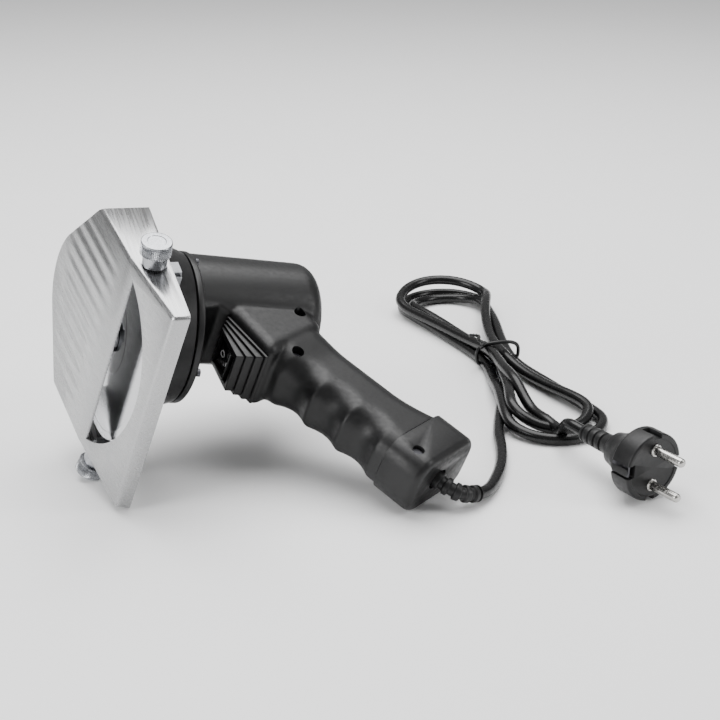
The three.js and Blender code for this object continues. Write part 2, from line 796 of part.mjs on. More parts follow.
place('cooling_fan', coolingFan(), plastic(0x2a2b2e, 0.5));
place('body_shell_left', bodyShell(1), plastic(0x1a1b1d, 0.5));
place('body_shell_right', bodyShell(-1), plastic(0x1a1b1d, 0.5));
place('body_screw_upper', bodyScrew(bodyScrews[0]), metal(0x3a3b3e, 0.4));
place('body_screw_lower', bodyScrew(bodyScrews[1]), metal(0x3a3b3e, 0.4));
place('handle_end_cap', endCap(), plastic(0x1a1b1d, 0.5));
place('cap_screw_side', capSideScrew(), metal(0x3a3b3e, 0.4));
place('cap_screw_back', capBackScrew(), metal(0x3a3b3e, 0.4));
place('switch_body', switchBody(), plastic(0x232427, 0.5));
place('switch_bezel', switchBezel(), plastic(0x111214, 0.6));
const rocker = place('switch_rocker', switchRocker(), plastic(0x0d0e10, 0.25));
rocker.position.set(rockerPivot[0], 0, rockerPivot[1]);

// Resting pose: the knife lies on the guard's back corner, the right thumb screw and the end cap
function guardContact() {
  return new THREE.Vector3(0, -guardHalfWidth, guardBottom);
}

function thumbScrewContact(leaning) {
  const frame = flangeFrame(-1);
  const along = new THREE.Vector3().setFromMatrixColumn(frame.matrix, 1);
  const sideways = leaning.clone().projectOnPlane(along).normalize();
  const edge = sideways.multiplyScalar(0.8 - headRadius);
  return frame.position.clone().addScaledVector(along, screwReach).add(edge);
}

// The cap touches with the round edge between its right side and its foot
function capContact(leaning) {
  const rounding = 3;
  const down = handleLength + capLength - rounding;
  const fore = -capCentre - capHalfDepth + capCornerRadius;
  const side = -gripHalfWidth - 0.5 + capCornerRadius;
  const corner = new THREE.Vector3(gripX(down, fore), side, gripZ(down, fore));
  const along = new THREE.Vector3(gripX(1, 0), 0, gripZ(1, 0));
  const across = leaning.clone().projectOnPlane(along).normalize();
  corner.addScaledVector(across, rounding - capCornerRadius);
  return corner.addScaledVector(leaning, -rounding);
}

function restingUp() {
  let up = new THREE.Vector3(0.2, 0.95, 0.25).normalize();
  for (let round = 0; round < 4; round += 1) {
    const toScrew = thumbScrewContact(up).sub(guardContact());
    const toCap = capContact(up).sub(guardContact());
    up = toCap.cross(toScrew).normalize();
  }
  return up;
}

function restingMatrix() {
  const up = restingUp();
  const forward = new THREE.Vector3(1, 0, 0).projectOnPlane(up).normalize();
  const across = new THREE.Vector3().crossVectors(up, forward);
  return new THREE.Matrix4().makeBasis(forward, across, up).transpose();
}

knife.setRotationFromMatrix(restingMatrix());
knife.updateMatrix();
knife.position.z = -guardContact().applyMatrix4(knife.matrix).z;
knife.updateMatrix();

// Cord: leaves the cap, sweeps back along the table, is folded into a tied bundle and ends in a plug
function cordTube(points, radius, sides, steps) {
  const places = points.map(([x, y, z]) => new THREE.Vector3(x, y, z));
  const path = new THREE.CatmullRomCurve3(places, false, 'centripetal');
  const outline = new THREE.Shape();
  outline.absarc(0, 0, radius, 0, 2 * Math.PI, false);
  const settings = { steps, extrudePath: path, bevelEnabled: false, curveSegments: sides };
  return solid(new THREE.ExtrudeGeometry(outline, settings));
}

function toTable(down, fore) {
  return new THREE.Vector3(gripX(down, fore), 0, gripZ(down, fore)).applyMatrix4(knife.matrix).toArray();
}

// Everything on the cord lies where it does from the point at which the cord leaves the cap
const foot = handleLength + capLength;
const cordExit = toTable(foot + 2, -gripCentre);

function fromExit(x, y, z) {
  return [cordExit[0] + x, cordExit[1] + y, z];
}

const reliefRoute = [
  toTable(foot - 7, -gripCentre),
  cordExit,
  fromExit(-5.3, 5.8, 11),
  fromExit(-11.8, 6.8, 8.4),
  fromExit(-18.8, 4.8, 6.4),
];
const leadRoute = [
  fromExit(-19.4, 4.6, 6.2),
  fromExit(-23.3, 3.1, 5.1),
  fromExit(-29.8, -1.8, 4.1),
  fromExit(-37.8, -10.6, 3.6),
  fromExit(-48.3, -24.2, 3.5),
  fromExit(-58.3, -42.2, 3.5),
  fromExit(-66.3, -60.2, 3.5),
];
const bundlePlace = fromExit(-115.3, -154.2, 1.3);
const bundleTurn = THREE.MathUtils.degToRad(-7.5);
const bundleLength = 256;
const bundleWidth = 66;
const bundleHeight = 17;

function strainRelief() {
  const sleeve = cordTube(reliefRoute, 5, 5, 14);
  const bore = cordTube(reliefRoute, cordRadius + gap, 4, 14);
  return sleeve.subtract(bore);
}

// Flat bundle with round ends and a waist where the tie holds it
function bundleOutline(margin) {
  const lobe = bundleWidth / 2 - margin;
  const reach = bundleLength / 2 - bundleWidth / 2;
  const waist = 0.62 * lobe;
  const outline = new THREE.Shape();
  outline.absarc(0, reach, lobe, 0, Math.PI, false);
  outline.quadraticCurveTo(-lobe, reach * 0.35, -waist, 0);
  outline.quadraticCurveTo(-lobe, -reach * 0.35, -lobe, -reach);
  outline.absarc(0, -reach, lobe, Math.PI, 2 * Math.PI, false);
  outline.quadraticCurveTo(lobe, -reach * 0.35, waist, 0);
  outline.quadraticCurveTo(lobe, reach * 0.35, lobe, reach);
  return outline;
}

function cordBundle() {
  const settings = { depth: bundleHeight, bevelEnabled: false, curveSegments: 14 };
  return solid(new THREE.ExtrudeGeometry(bundleOutline(0), settings));
}

function cordTie() {
  const waist = 0.62 * (bundleWidth / 2) + 1.2;
  const outer = box(-waist - 1.6, waist + 1.6, -1.6, 1.6, -1.1, bundleHeight + 1.9);
  return outer.subtract(box(-waist, waist, -3, 3, -gap, bundleHeight + gap));
}

// Two-pin mains plug with round face, drawn with its pins along +X
const plugRadius = 18.3;
const pinSpacing = 19;
const pinLength = 19;

function plugBody() {
  const profile = [
    [0, -52],
    [5, -52],
    [5.6, -30],
    [8.5, -29],
    [11, -22],
    [15, -13],
    [plugRadius, -12],
    [plugRadius, -0.8],
    [plugRadius - 0.8, 0],
    [0, 0],
  ];
  let shape = turnedX(profile, 0, 40);
  for (const side of [1, -1]) {
    shape = shape.subtract(box(-14, 1, side * 16 - 1.6, side * 16 + 1.6, -3.4, 3.4));
    shape = shape.subtract(box(-8, 1, side > 0 ? 17.5 : -20, side > 0 ? 20 : -17.5, -3.4, 3.4));
    shape = shape.subtract(barX(2.4 + gap, -6, 1, 0, (side * pinSpacing) / 2, 20));
    shape = shape.subtract(box(-9, 1, -2.5, 2.5, side > 0 ? 15.8 : -20, side > 0 ? 20 : -15.8));
  }
  return shape.subtract(barX(cordRadius + 0.5, -53, -46, 0, 0, 16));
}

function plugPin(side) {
  const z = (side * pinSpacing) / 2;
  const tip = [[0, -5.5], [2.4, -5.5], [2.4, pinLength - 1], [1.6, pinLength], [0, pinLength]];
  return turnedX(tip, z, 20);
}

function earthContact(side) {
  return box(-13, -1.5, side * 16 - 0.6, side * 16 + 0.6, -3, 3);
}

const table = new THREE.Group();
place('strain_relief', strainRelief(), plastic(0x141517, 0.6), table);
place('cord_clamp', cordClamp(), plastic(0x2c2d30, 0.6));
place('power_cord_lead', cordTube(leadRoute, cordRadius, 3, 16), plastic(0x101113, 0.45), table);
const bundle = new THREE.Group();
bundle.position.set(...bundlePlace);
bundle.rotation.z = bundleTurn;
place('power_cord_bundle', cordBundle(), plastic(0x101113, 0.45), bundle);
place('cord_tie', cordTie(), plastic(0x141517, 0.5), bundle);
table.add(bundle);
const plug = new THREE.Group();
const plugTurn = [-4, -1, 100].map((angle) => THREE.MathUtils.degToRad(angle));
plug.rotation.set(...plugTurn, 'ZYX');
plug.position.set(...fromExit(-102.6, 35.9, 19.2));
place('plug_body', plugBody(), plastic(0x131416, 0.55), plug);
place('plug_pin_upper', plugPin(1), metal(0xd0cfca, 0.2), plug);
place('plug_pin_lower', plugPin(-1), metal(0xd0cfca, 0.2), plug);
place('earth_contact_left', earthContact(1), metal(0xc8b26a, 0.35), plug);
place('earth_contact_right', earthContact(-1), metal(0xc8b26a, 0.35), plug);
plug.updateMatrix();
table.add(plug);
const boot = new THREE.Vector3(-52 + 5, 0, 0).applyMatrix4(plug.matrix).toArray();
const bootEnd = new THREE.Vector3(-56, 0, 0).applyMatrix4(plug.matrix).toArray();
const tailRoute = [boot, bootEnd, [bootEnd[0] + 0.4, bootEnd[1] - 5, bootEnd[2] - 2]];
place('power_cord_tail', cordTube(tailRoute, cordRadius, 3, 6), plastic(0x101113, 0.45), table);

table.add(knife);
const extent = new THREE.Box3().setFromObject(knife, true);
const middle = extent.getCenter(new THREE.Vector3());
table.position.set(-middle.x, -middle.y, -extent.min.z);

const group = new THREE.Group();
group.add(table);
export default group;
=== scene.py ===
import json
import math
import bpy
import numpy as np
from mathutils import Matrix, Vector


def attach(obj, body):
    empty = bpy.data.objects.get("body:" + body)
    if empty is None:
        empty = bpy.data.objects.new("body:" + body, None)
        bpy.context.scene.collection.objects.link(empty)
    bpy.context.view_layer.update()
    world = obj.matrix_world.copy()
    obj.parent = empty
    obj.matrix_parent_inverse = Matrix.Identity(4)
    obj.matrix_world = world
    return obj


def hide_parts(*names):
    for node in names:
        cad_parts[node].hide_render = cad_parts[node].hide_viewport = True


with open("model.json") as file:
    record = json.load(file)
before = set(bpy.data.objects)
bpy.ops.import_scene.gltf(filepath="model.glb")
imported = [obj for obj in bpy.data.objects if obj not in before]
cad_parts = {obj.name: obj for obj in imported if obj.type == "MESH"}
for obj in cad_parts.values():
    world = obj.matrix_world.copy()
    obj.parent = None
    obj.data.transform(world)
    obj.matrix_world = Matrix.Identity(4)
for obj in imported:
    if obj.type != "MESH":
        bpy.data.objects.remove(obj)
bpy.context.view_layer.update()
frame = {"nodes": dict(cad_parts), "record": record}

# The knife is modelled upright in its own frame, in millimetres: X forward along the blade's shaft,
# Y to the user's left, Z up, with the blade's centre over the origin. It is laid on its side afterwards.
mm = 0.001
knifeOrigin = Vector((0.059632, -0.025566, 0.076327))
knifeLean = math.radians(71.927)
knifeTip = math.radians(12.415)
knifeTurn = Matrix.Rotation(-knifeTip, 4, "Y") @ Matrix.Rotation(knifeLean, 4, "X")
knifeFrame = Matrix.Translation(knifeOrigin) @ knifeTurn @ Matrix.Scale(mm, 4)
handleRake = math.radians(32)
rootBody = "body"


def report(text):
    print("scene:", text)


# Helpers for meshes
def newPiece(name, vertices, faces):
    mesh = bpy.data.meshes.new(name)
    mesh.from_pydata(vertices, [], faces)
    mesh.update()
    piece = bpy.data.objects.new(name, mesh)
    bpy.context.scene.collection.objects.link(piece)
    return piece


def only(piece):
    bpy.ops.object.select_all(action="DESELECT")
    piece.select_set(True)
    bpy.context.view_layer.objects.active = piece


def applyModifier(piece, kind, **values):
    only(piece)
    modifier = piece.modifiers.new(kind.lower(), kind)
    for key, value in values.items():
        setattr(modifier, key, value)
    bpy.ops.object.modifier_apply(modifier=modifier.name)
    return piece


def combine(piece, other, operation="DIFFERENCE"):
    applyModifier(piece, "BOOLEAN", operation=operation, object=other, solver="EXACT")
    bpy.data.objects.remove(other)
    return piece


def joined(pieces):
    bpy.ops.object.select_all(action="DESELECT")
    for piece in pieces:
        piece.select_set(True)
    bpy.context.view_layer.objects.active = pieces[0]
    bpy.ops.object.join()
    return pieces[0]


def outwards(piece):
    only(piece)
    bpy.ops.object.mode_set(mode="EDIT")
    bpy.ops.mesh.select_all(action="SELECT")
    bpy.ops.mesh.remove_doubles(threshold=0.0005)
    bpy.ops.mesh.normals_make_consistent(inside=False)
    bpy.ops.object.mode_set(mode="OBJECT")
    return piece


# Faces between rings of vertices that are listed one ring after another
def ringFaces(rings, sides):
    faces = []
    for ring in range(rings - 1):
        for side in range(sides):
            after = (side + 1) % sides
            a, b = ring * sides, (ring + 1) * sides
            faces.append((a + side, a + after, b + after, b + side))
    return faces


# Solid of revolution about X: profile of (x, radius) pairs that starts and ends on the axis
def lathe(name, profile, steps=96, swell=None):
    vertices = []
    for x, radius in profile:
        for step in range(steps):
            turn = 2 * math.pi * step / steps
            reach = radius if swell is None else radius + swell(x, radius, step)
            vertices.append((x, reach * math.cos(turn), reach * math.sin(turn)))
    return outwards(newPiece(name, vertices, ringFaces(len(profile), steps)))


# Rounded corner of a lathe profile, from one angle to another about a centre
def arcProfile(x, radius, size, start, end, steps=5):
    points = []
    for step in range(steps + 1):
        turn = math.radians(start + (end - start) * step / steps)
        points.append((x + size * math.cos(turn), radius + size * math.sin(turn)))
    return points


# Outline of (a, b) points pulled from low to high along one axis.
# "X" takes points as (y, z), "Y" as (x, z) and "Z" as (x, y)
def prism(name, outline, low, high, axis):
    def place(a, b, c):
        return {"X": (c, a, b), "Y": (a, c, b), "Z": (a, b, c)}[axis]
    count = len(outline)
    vertices = [place(a, b, low) for a, b in outline] + [place(a, b, high) for a, b in outline]
    faces = [tuple(range(count)), tuple(range(2 * count - 1, count - 1, -1))]
    for index in range(count):
        after = (index + 1) % count
        faces.append((index, after, count + after, count + index))
    return outwards(newPiece(name, vertices, faces))


def block(name, x0, x1, y0, y1, z0, z1):
    return prism(name, [(x0, y0), (x1, y0), (x1, y1), (x0, y1)], z0, z1, "Z")


def cylinderAlong(name, radius, low, high, axis, a=0.0, b=0.0, steps=48):
    turns = [2 * math.pi * step / steps for step in range(steps)]
    outline = [(a + radius * math.cos(turn), b + radius * math.sin(turn)) for turn in turns]
    return prism(name, outline, low, high, axis)


def bevelled(piece, width, segments=3, angle=30):
    return applyModifier(piece, "BEVEL", width=width, segments=segments, limit_method="ANGLE",
                         angle_limit=math.radians(angle), harden_normals=False)


def smoothShaded(piece, angle=35):
    only(piece)
    bpy.ops.object.shade_smooth_by_angle(angle=math.radians(angle))
    return piece


def handlePoint(down, fore, side=0.0):
    x = fore * math.cos(handleRake) - down * math.sin(handleRake)
    z = -fore * math.sin(handleRake) - down * math.cos(handleRake)
    return Vector((x, side, z))


handleFrame = Matrix((
    (math.cos(handleRake), 0, -math.sin(handleRake), 0),
    (0, -1, 0, 0),
    (-math.sin(handleRake), 0, -math.cos(handleRake), 0),
    (0, 0, 0, 1),
))


# Section across the handle with round corners, its centre set back from the blade
def gripOutline(halfDepth, halfWidth, radius, centre, steps=10):
    outline = []
    for corner, (sideX, sideY) in enumerate([(1, 1), (-1, 1), (-1, -1), (1, -1)]):
        for step in range(steps + 1):
            turn = math.pi / 2 * (corner + step / steps)
            outline.append((-centre + sideX * (halfDepth - radius) + radius * math.cos(turn),
                            sideY * (halfWidth - radius) + radius * math.sin(turn)))
    return outline


# Bar of that section between two distances down the handle
def gripBar(name, halfDepth, halfWidth, radius, centre, start, end, steps=10):
    piece = prism(name, gripOutline(halfDepth, halfWidth, radius, centre, steps), start, end, "Z")
    piece.data.transform(handleFrame)
    return outwards(piece)


guard = {
    "halfWidth": 61.0, "lipDepth": 8.0, "bendDepth": 18.5, "bendHeight": -16.2, "soleDepth": 28.52,
    "top": 61.0, "bottom": -65.0, "sheet": 1.2, "flare": math.radians(9), "slotRadius": 56.0,
    "slotChord": -23.22, "fluteSpacing": 9.0, "fluteDepth": 0.35, "soleSlope": 0.13,
    "innerRounding": 0.5, "outerRounding": 2.2,
}


# Helpers for materials
def newMaterial(name):
    material = bpy.data.materials.new(name)
    material.use_nodes = True
    nodes = material.node_tree.nodes
    shader = nodes["Principled BSDF"]
    return material, nodes, material.node_tree.links, shader


def objectCoordinates(nodes):
    return nodes.new("ShaderNodeTexCoord").outputs["Object"]


# Object coordinates turned into the knife's own frame, still in metres
def knifeCoordinates(nodes, links):
    shift = nodes.new("ShaderNodeVectorMath")
    shift.operation = "SUBTRACT"
    shift.inputs[1].default_value = knifeOrigin
    links.new(objectCoordinates(nodes), shift.inputs[0])
    first = nodes.new("ShaderNodeMapping")
    first.inputs["Rotation"].default_value = (0, knifeTip, 0)
    links.new(shift.outputs[0], first.inputs["Vector"])
    second = nodes.new("ShaderNodeMapping")
    second.inputs["Rotation"].default_value = (-knifeLean, 0, 0)
    links.new(first.outputs[0], second.inputs["Vector"])
    return second.outputs[0]


def noise(nodes, links, vector, scale, detail=4.0, stretch=(1, 1, 1), roughness=0.55):
    mapping = nodes.new("ShaderNodeMapping")
    mapping.inputs["Scale"].default_value = stretch
    links.new(vector, mapping.inputs["Vector"])
    texture = nodes.new("ShaderNodeTexNoise")
    texture.inputs["Scale"].default_value = scale
    texture.inputs["Detail"].default_value = detail
    texture.inputs["Roughness"].default_value = roughness
    links.new(mapping.outputs[0], texture.inputs["Vector"])
    return texture.outputs["Fac"]


def remap(nodes, links, value, low, high, fromLow=0.3, fromHigh=0.7):
    node = nodes.new("ShaderNodeMapRange")
    node.inputs["From Min"].default_value = fromLow
    node.inputs["From Max"].default_value = fromHigh
    node.inputs["To Min"].default_value = low
    node.inputs["To Max"].default_value = high
    links.new(value, node.inputs["Value"])
    return node.outputs["Result"]


def mixColours(nodes, links, factor, first, second):
    node = nodes.new("ShaderNodeMix")
    node.data_type = "RGBA"
    node.inputs["A"].default_value = (*first, 1)
    node.inputs["B"].default_value = (*second, 1)
    links.new(factor, node.inputs["Factor"])
    return node.outputs["Result"]


def bump(nodes, links, shader, height, strength, distance):
    node = nodes.new("ShaderNodeBump")
    node.inputs["Strength"].default_value = strength
    node.inputs["Distance"].default_value = distance
    links.new(height, node.inputs["Height"])
    previous = shader.inputs["Normal"]
    if previous.is_linked:
        links.new(previous.links[0].from_socket, node.inputs["Normal"])
    links.new(node.outputs[0], shader.inputs["Normal"])


# Moulded plastic: fine grain, uneven sheen, a trace of dust
def mouldedPlastic(name, tone=0.013, roughness=0.42, grain=0.5, tint=(1.0, 1.0, 1.06), waves=0.1):
    material, nodes, links, shader = newMaterial(name)
    shader.inputs["Specular IOR Level"].default_value = 0.34
    vector = objectCoordinates(nodes)
    broad = noise(nodes, links, vector, 38, 5)
    dark = tuple(tone * 0.75 * t for t in tint)
    light = tuple(tone * 1.6 * t for t in tint)
    links.new(mixColours(nodes, links, broad, dark, light), shader.inputs["Base Color"])
    fine = noise(nodes, links, vector, 420, 3)
    spread = min(1.0, 0.3 + grain)
    links.new(remap(nodes, links, fine, roughness - 0.07 * spread, roughness + 0.09 * spread),
              shader.inputs["Roughness"])
    bump(nodes, links, shader, noise(nodes, links, vector, 2600, 2), 0.22 * grain, 0.0001)
    bump(nodes, links, shader, noise(nodes, links, vector, 90, 3), waves, 0.0004)
    return material


# Sheet steel brushed along one direction of the knife's frame
def brushedSteel(name, tone=0.58, roughness=0.26, along=(1, 1, 0.03), depth=0.35):
    material, nodes, links, shader = newMaterial(name)
    shader.inputs["Metallic"].default_value = 1.0
    vector = knifeCoordinates(nodes, links)
    streak = noise(nodes, links, vector, 900, 4, along)
    cloud = noise(nodes, links, vector, 26, 4)
    low = (tone * 0.90, tone * 0.91, tone * 0.93)
    high = (tone * 1.10, tone * 1.10, tone * 1.10)
    links.new(mixColours(nodes, links, cloud, low, high), shader.inputs["Base Color"])
    links.new(remap(nodes, links, streak, roughness - 0.06, roughness + 0.12), shader.inputs["Roughness"])
    bump(nodes, links, shader, streak, depth * 0.4, 0.00006)
    return material


def maths(nodes, links, operation, first, second=None):
    node = nodes.new("ShaderNodeMath")
    node.operation = operation
    for index, value in enumerate((first, second)):
        if value is None:
            continue
        if isinstance(value, (int, float)):
            node.inputs[index].default_value = value
        else:
            links.new(value, node.inputs[index])
    return node.outputs[0]


# Shallow flutes pressed into the guard's sole, above the bend
def addFlutes(material):
    nodes, links = material.node_tree.nodes, material.node_tree.links
    shader = nodes["Principled BSDF"]
    split = nodes.new("ShaderNodeSeparateXYZ")
    links.new(knifeCoordinates(nodes, links), split.inputs[0])
    waves = 2 * math.pi / (guard["fluteSpacing"] * mm)
    wave = maths(nodes, links, "SINE", maths(nodes, links, "MULTIPLY", split.outputs["Y"], waves))
    high = remap(nodes, links, split.outputs["Z"], 0, 1, -0.012, 0.004)
    low = remap(nodes, links, split.outputs["Z"], 1, 0, 0.040, 0.054)
    wide = remap(nodes, links, maths(nodes, links, "ABSOLUTE", split.outputs["Y"]), 1, 0, 0.043, 0.049)
    deep = remap(nodes, links, split.outputs["X"], 0, 1, 0.017, 0.0185)
    mask = maths(nodes, links, "MULTIPLY", maths(nodes, links, "MULTIPLY", high, low),
                 maths(nodes, links, "MULTIPLY", wide, deep))
    bump(nodes, links, shader, maths(nodes, links, "MULTIPLY", wave, mask), 0.55,
         guard["fluteDepth"] * mm)


# Ground steel disc: rings about the shaft
def groundSteel(name):
    material, nodes, links, shader = newMaterial(name)
    shader.inputs["Metallic"].default_value = 1.0
    vector = knifeCoordinates(nodes, links)
    flat = nodes.new("ShaderNodeVectorMath")
    flat.operation = "MULTIPLY"
    flat.inputs[1].default_value = (0, 1, 1)
    links.new(vector, flat.inputs[0])
    length = nodes.new("ShaderNodeVectorMath")
    length.operation = "LENGTH"
    links.new(flat.outputs[0], length.inputs[0])
    rings = nodes.new("ShaderNodeTexNoise")
    rings.noise_dimensions = "1D"
    rings.inputs["Scale"].default_value = 2400
    rings.inputs["Detail"].default_value = 3
    links.new(length.outputs["Value"], rings.inputs["W"])
    cloud = noise(nodes, links, vector, 30, 4)
    colour = mixColours(nodes, links, cloud, (0.52, 0.53, 0.55), (0.62, 0.62, 0.63))
    links.new(colour, shader.inputs["Base Color"])
    links.new(remap(nodes, links, rings.outputs["Fac"], 0.06, 0.13), shader.inputs["Roughness"])
    bump(nodes, links, shader, rings.outputs["Fac"], 0.06, 0.00004)
    return material


def plainMetal(name, colour, roughness=0.3):
    material, nodes, links, shader = newMaterial(name)
    shader.inputs["Metallic"].default_value = 1.0
    vector = objectCoordinates(nodes)
    cloud = noise(nodes, links, vector, 120, 5)
    low = tuple(channel * 0.8 for channel in colour)
    links.new(mixColours(nodes, links, cloud, low, colour), shader.inputs["Base Color"])
    fine = noise(nodes, links, vector, 700, 3)
    links.new(remap(nodes, links, fine, roughness - 0.08, roughness + 0.12), shader.inputs["Roughness"])
    bump(nodes, links, shader, fine, 0.06, 0.00005)
    return material


def paintedMark(name, tone):
    material, nodes, links, shader = newMaterial(name)
    vector = objectCoordinates(nodes)
    links.new(mixColours(nodes, links, noise(nodes, links, vector, 500, 3), (tone * 0.8,) * 3, (tone,) * 3),
              shader.inputs["Base Color"])
    sheen = noise(nodes, links, vector, 900, 2)
    links.new(remap(nodes, links, sheen, 0.45, 0.6), shader.inputs["Roughness"])
    return material


bodyPlastic = mouldedPlastic("body_plastic_look", 0.0045, 0.40, 0.8)
casePlastic = mouldedPlastic("case_plastic_look", 0.0045, 0.38, 0.6)
switchPlastic = mouldedPlastic("switch_plastic_look", 0.003, 0.36, 0.4)
rockerPlastic = mouldedPlastic("rocker_look", 0.003, 0.16, 0.1)
cordSheath = mouldedPlastic("cord_look", 0.003, 0.26, 0.05, waves=0.01)
plugRubber = mouldedPlastic("plug_look", 0.005, 0.42, 0.5)
tiePlastic = mouldedPlastic("tie_look", 0.004, 0.30, 0.2)
sheetSteel = brushedSteel("sheet_steel_look", 0.40, 0.24)
addFlutes(sheetSteel)
# Near-black steel for the guard's inside faces: painted shade, far darker than the sheet itself
guardInsidePaintedShade = brushedSteel("guard_inside_painted_shade_look", 0.035, 0.55)
bladeSteel = groundSteel("blade_look")
screwChrome = plainMetal("thumb_screw_look", (0.40, 0.41, 0.43), 0.24)
plainSteel = plainMetal("plain_steel_look", (0.22, 0.225, 0.235), 0.38)
motorSteel = plainMetal("motor_steel_look", (0.20, 0.21, 0.22), 0.45)
brassMetal = plainMetal("brass_look", (0.62, 0.42, 0.16), 0.30)
darkScrew = plainMetal("dark_screw_look", (0.10, 0.10, 0.11), 0.38)
pinNickel = plainMetal("pin_look", (0.52, 0.51, 0.49), 0.22)
magnetBlack = mouldedPlastic("magnet_look", 0.03, 0.6, 0.8)
gearPlastic = mouldedPlastic("gear_look", 0.45, 0.45, 0.3, (1.0, 0.94, 0.78))
markPaint = paintedMark("mark_look", 0.55)
looks = {
    "sheet_steel": sheetSteel, "blade_steel": bladeSteel, "bright_steel": screwChrome,
    "plain_steel": plainSteel, "motor_steel": motorSteel, "magnet": magnetBlack, "carbon": magnetBlack,
    "brass": brassMetal,
    "gear_plastic": gearPlastic, "fan_plastic": casePlastic, "body_plastic": bodyPlastic,
    "switch_plastic": switchPlastic, "rocker_plastic": rockerPlastic, "dark_screw": darkScrew,
    "cord_sheath": cordSheath, "plug_plastic": plugRubber, "pin_nickel": pinNickel,
}


# Gives every CAD node the look of its slot in the record. The case screws are dark, and the earth contacts
# take the same dark steel as painted shade for the recesses they sit in
def dressFrame():
    slots = {part["node"]: part["material_slot"] for part in frame["record"]["subparts"]}
    # Earth contacts made dark: painted shade for their recesses, not the colour of their metal
    slots.update({name: "dark_screw" for name in slots if name.startswith(("case_screw", "earth_contact"))})
    for name, node in frame["nodes"].items():
        node.data.materials.clear()
        node.data.materials.append(looks[slots[name]])
        smoothShaded(node, 32)


def settle(piece, material, body, replaced=(), matrix=knifeFrame, angle=35):
    piece.data.transform(matrix)
    piece.data.materials.clear()
    piece.data.materials.append(material)
    smoothShaded(piece, angle)
    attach(piece, body)
    if replaced:
        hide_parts(*replaced)
    return piece


dressFrame()
report("looks ready")


# Camera
def addCamera():
    view = Vector((-0.371, -0.845, -0.385)).normalized()
    right = Vector((-0.917, 0.399, 0.009))
    right = (right - right.dot(view) * view).normalized()
    up = right.cross(view)
    turn = Matrix((right, up, -view)).transposed()
    data = bpy.data.cameras.new("camera")
    data.lens = 72.2
    data.sensor_width = 36
    data.clip_start = 0.05
    data.clip_end = 30
    camera = bpy.data.objects.new("camera", data)
    camera.matrix_world = Matrix.Translation((0.2283, 0.6498, 0.3499)) @ turn.to_4x4()
    bpy.context.scene.collection.objects.link(camera)
    bpy.context.scene.camera = camera


addCamera()

# Cord
cord = {
    "diameter": 6.4,
    "step": 3.0,
    "bundleCentre": Vector((-184.4, -79.6)),
    "bundleTurn": math.radians(-7.5),
    "clearance": 0.2,
    "highest": 16.5,
    "lastLoop": {"fromEnd": 258, "spread": 62, "rise": 11.5},
}
tableShift = Vector((59.632, -25.566, 0.0))
exitRoute = [(-148.1, 104.8, 6.2), (-152.0, 103.3, 5.1), (-158.5, 98.4, 4.1), (-166.5, 89.6, 3.6),
             (-177.0, 76.0, 3.5), (-187.0, 58.0, 3.5), (-195.0, 40.0, 3.5)]
plugFace = Vector((-171.675, 110.527, 19.2))
plugTurn = (Matrix.Rotation(math.radians(100), 4, "Z") @ Matrix.Rotation(math.radians(-1), 4, "Y")
            @ Matrix.Rotation(math.radians(-4), 4, "X"))
plugFrame = Matrix.Scale(mm, 4) @ Matrix.Translation(plugFace) @ plugTurn


def bundlePoint(along, across):
    axis = Vector((-math.sin(cord["bundleTurn"]), math.cos(cord["bundleTurn"])))
    side = Vector((axis.y, -axis.x))
    return cord["bundleCentre"] + along * axis + across * side


# One half turn round the end of a lobe, from one side to the other
def lobeEnd(end, radius, reach, fromSide, shift=0.0, steps=7):
    points = []
    for step in range(steps + 1):
        turn = math.pi * step / steps
        points.append(bundlePoint(end * (reach + radius * 0.95 * math.sin(turn)),
                                  fromSide * radius * math.cos(turn) + shift))
    return points


def flatRoute():
    turns = [
        {"far": 29, "farReach": 97, "near": 28, "nearReach": 92, "backWaist": 8.5, "outWaist": -9.0},
        {"far": 24, "farReach": 90, "near": 23, "nearReach": 84, "backWaist": 2.5, "outWaist": -3.0},
    ]
    last = {"far": 30, "farReach": 92, "backWaist": 6.5}
    points = [Vector((x, y)) + tableShift.xy for x, y, z in exitRoute]
    points += [bundlePoint(62, 20), bundlePoint(30, 5), bundlePoint(0, -2.5), bundlePoint(-30, -10),
               bundlePoint(-62, -21)]
    for turn in turns:
        points += lobeEnd(-1, turn["far"], turn["farReach"], -1)
        points += [bundlePoint(-50, turn["backWaist"] + 9), bundlePoint(0, turn["backWaist"]),
                   bundlePoint(46, turn["backWaist"] + 9)]
        points += lobeEnd(1, turn["near"], turn["nearReach"], 1)
        points += [bundlePoint(46, turn["outWaist"] - 9), bundlePoint(0, turn["outWaist"]),
                   bundlePoint(-50, turn["outWaist"] - 9)]
    points += lobeEnd(-1, last["far"], last["farReach"], -1, 2.0)
    points += [bundlePoint(-46, last["backWaist"] + 11), bundlePoint(0, last["backWaist"]),
               bundlePoint(44, last["backWaist"] + 4), bundlePoint(84, 9.5), bundlePoint(112, 4.5)]
    return points


# Even steps along a smooth curve through the points
def evenly(points, step):
    fine = []
    count = len(points)
    for index in range(count - 1):
        before = points[max(index - 1, 0)]
        here, there = points[index], points[index + 1]
        after = points[min(index + 2, count - 1)]
        for part in range(12):
            t = part / 12
            slope = there - before
            bend = 2 * before - 5 * here + 4 * there - after
            twist = 3 * here - before - 3 * there + after
            fine.append(0.5 * (2 * here + slope * t + bend * t ** 2 + twist * t ** 3))
    fine.append(points[-1])
    values = np.array([tuple(p) for p in fine])
    lengths = np.concatenate([[0], np.cumsum(np.linalg.norm(np.diff(values, axis=0), axis=1))])
    marks = np.linspace(0, lengths[-1], max(2, round(lengths[-1] / step) + 1))
    return np.stack([np.interp(marks, lengths, values[:, k]) for k in range(values.shape[1])], axis=1)


# Smooths in place, with both ends held
def eased(values, rounds):
    for _ in range(rounds):
        values[1:-1] = (values[:-2] + 2 * values[1:-1] + values[2:]) / 4
    return values


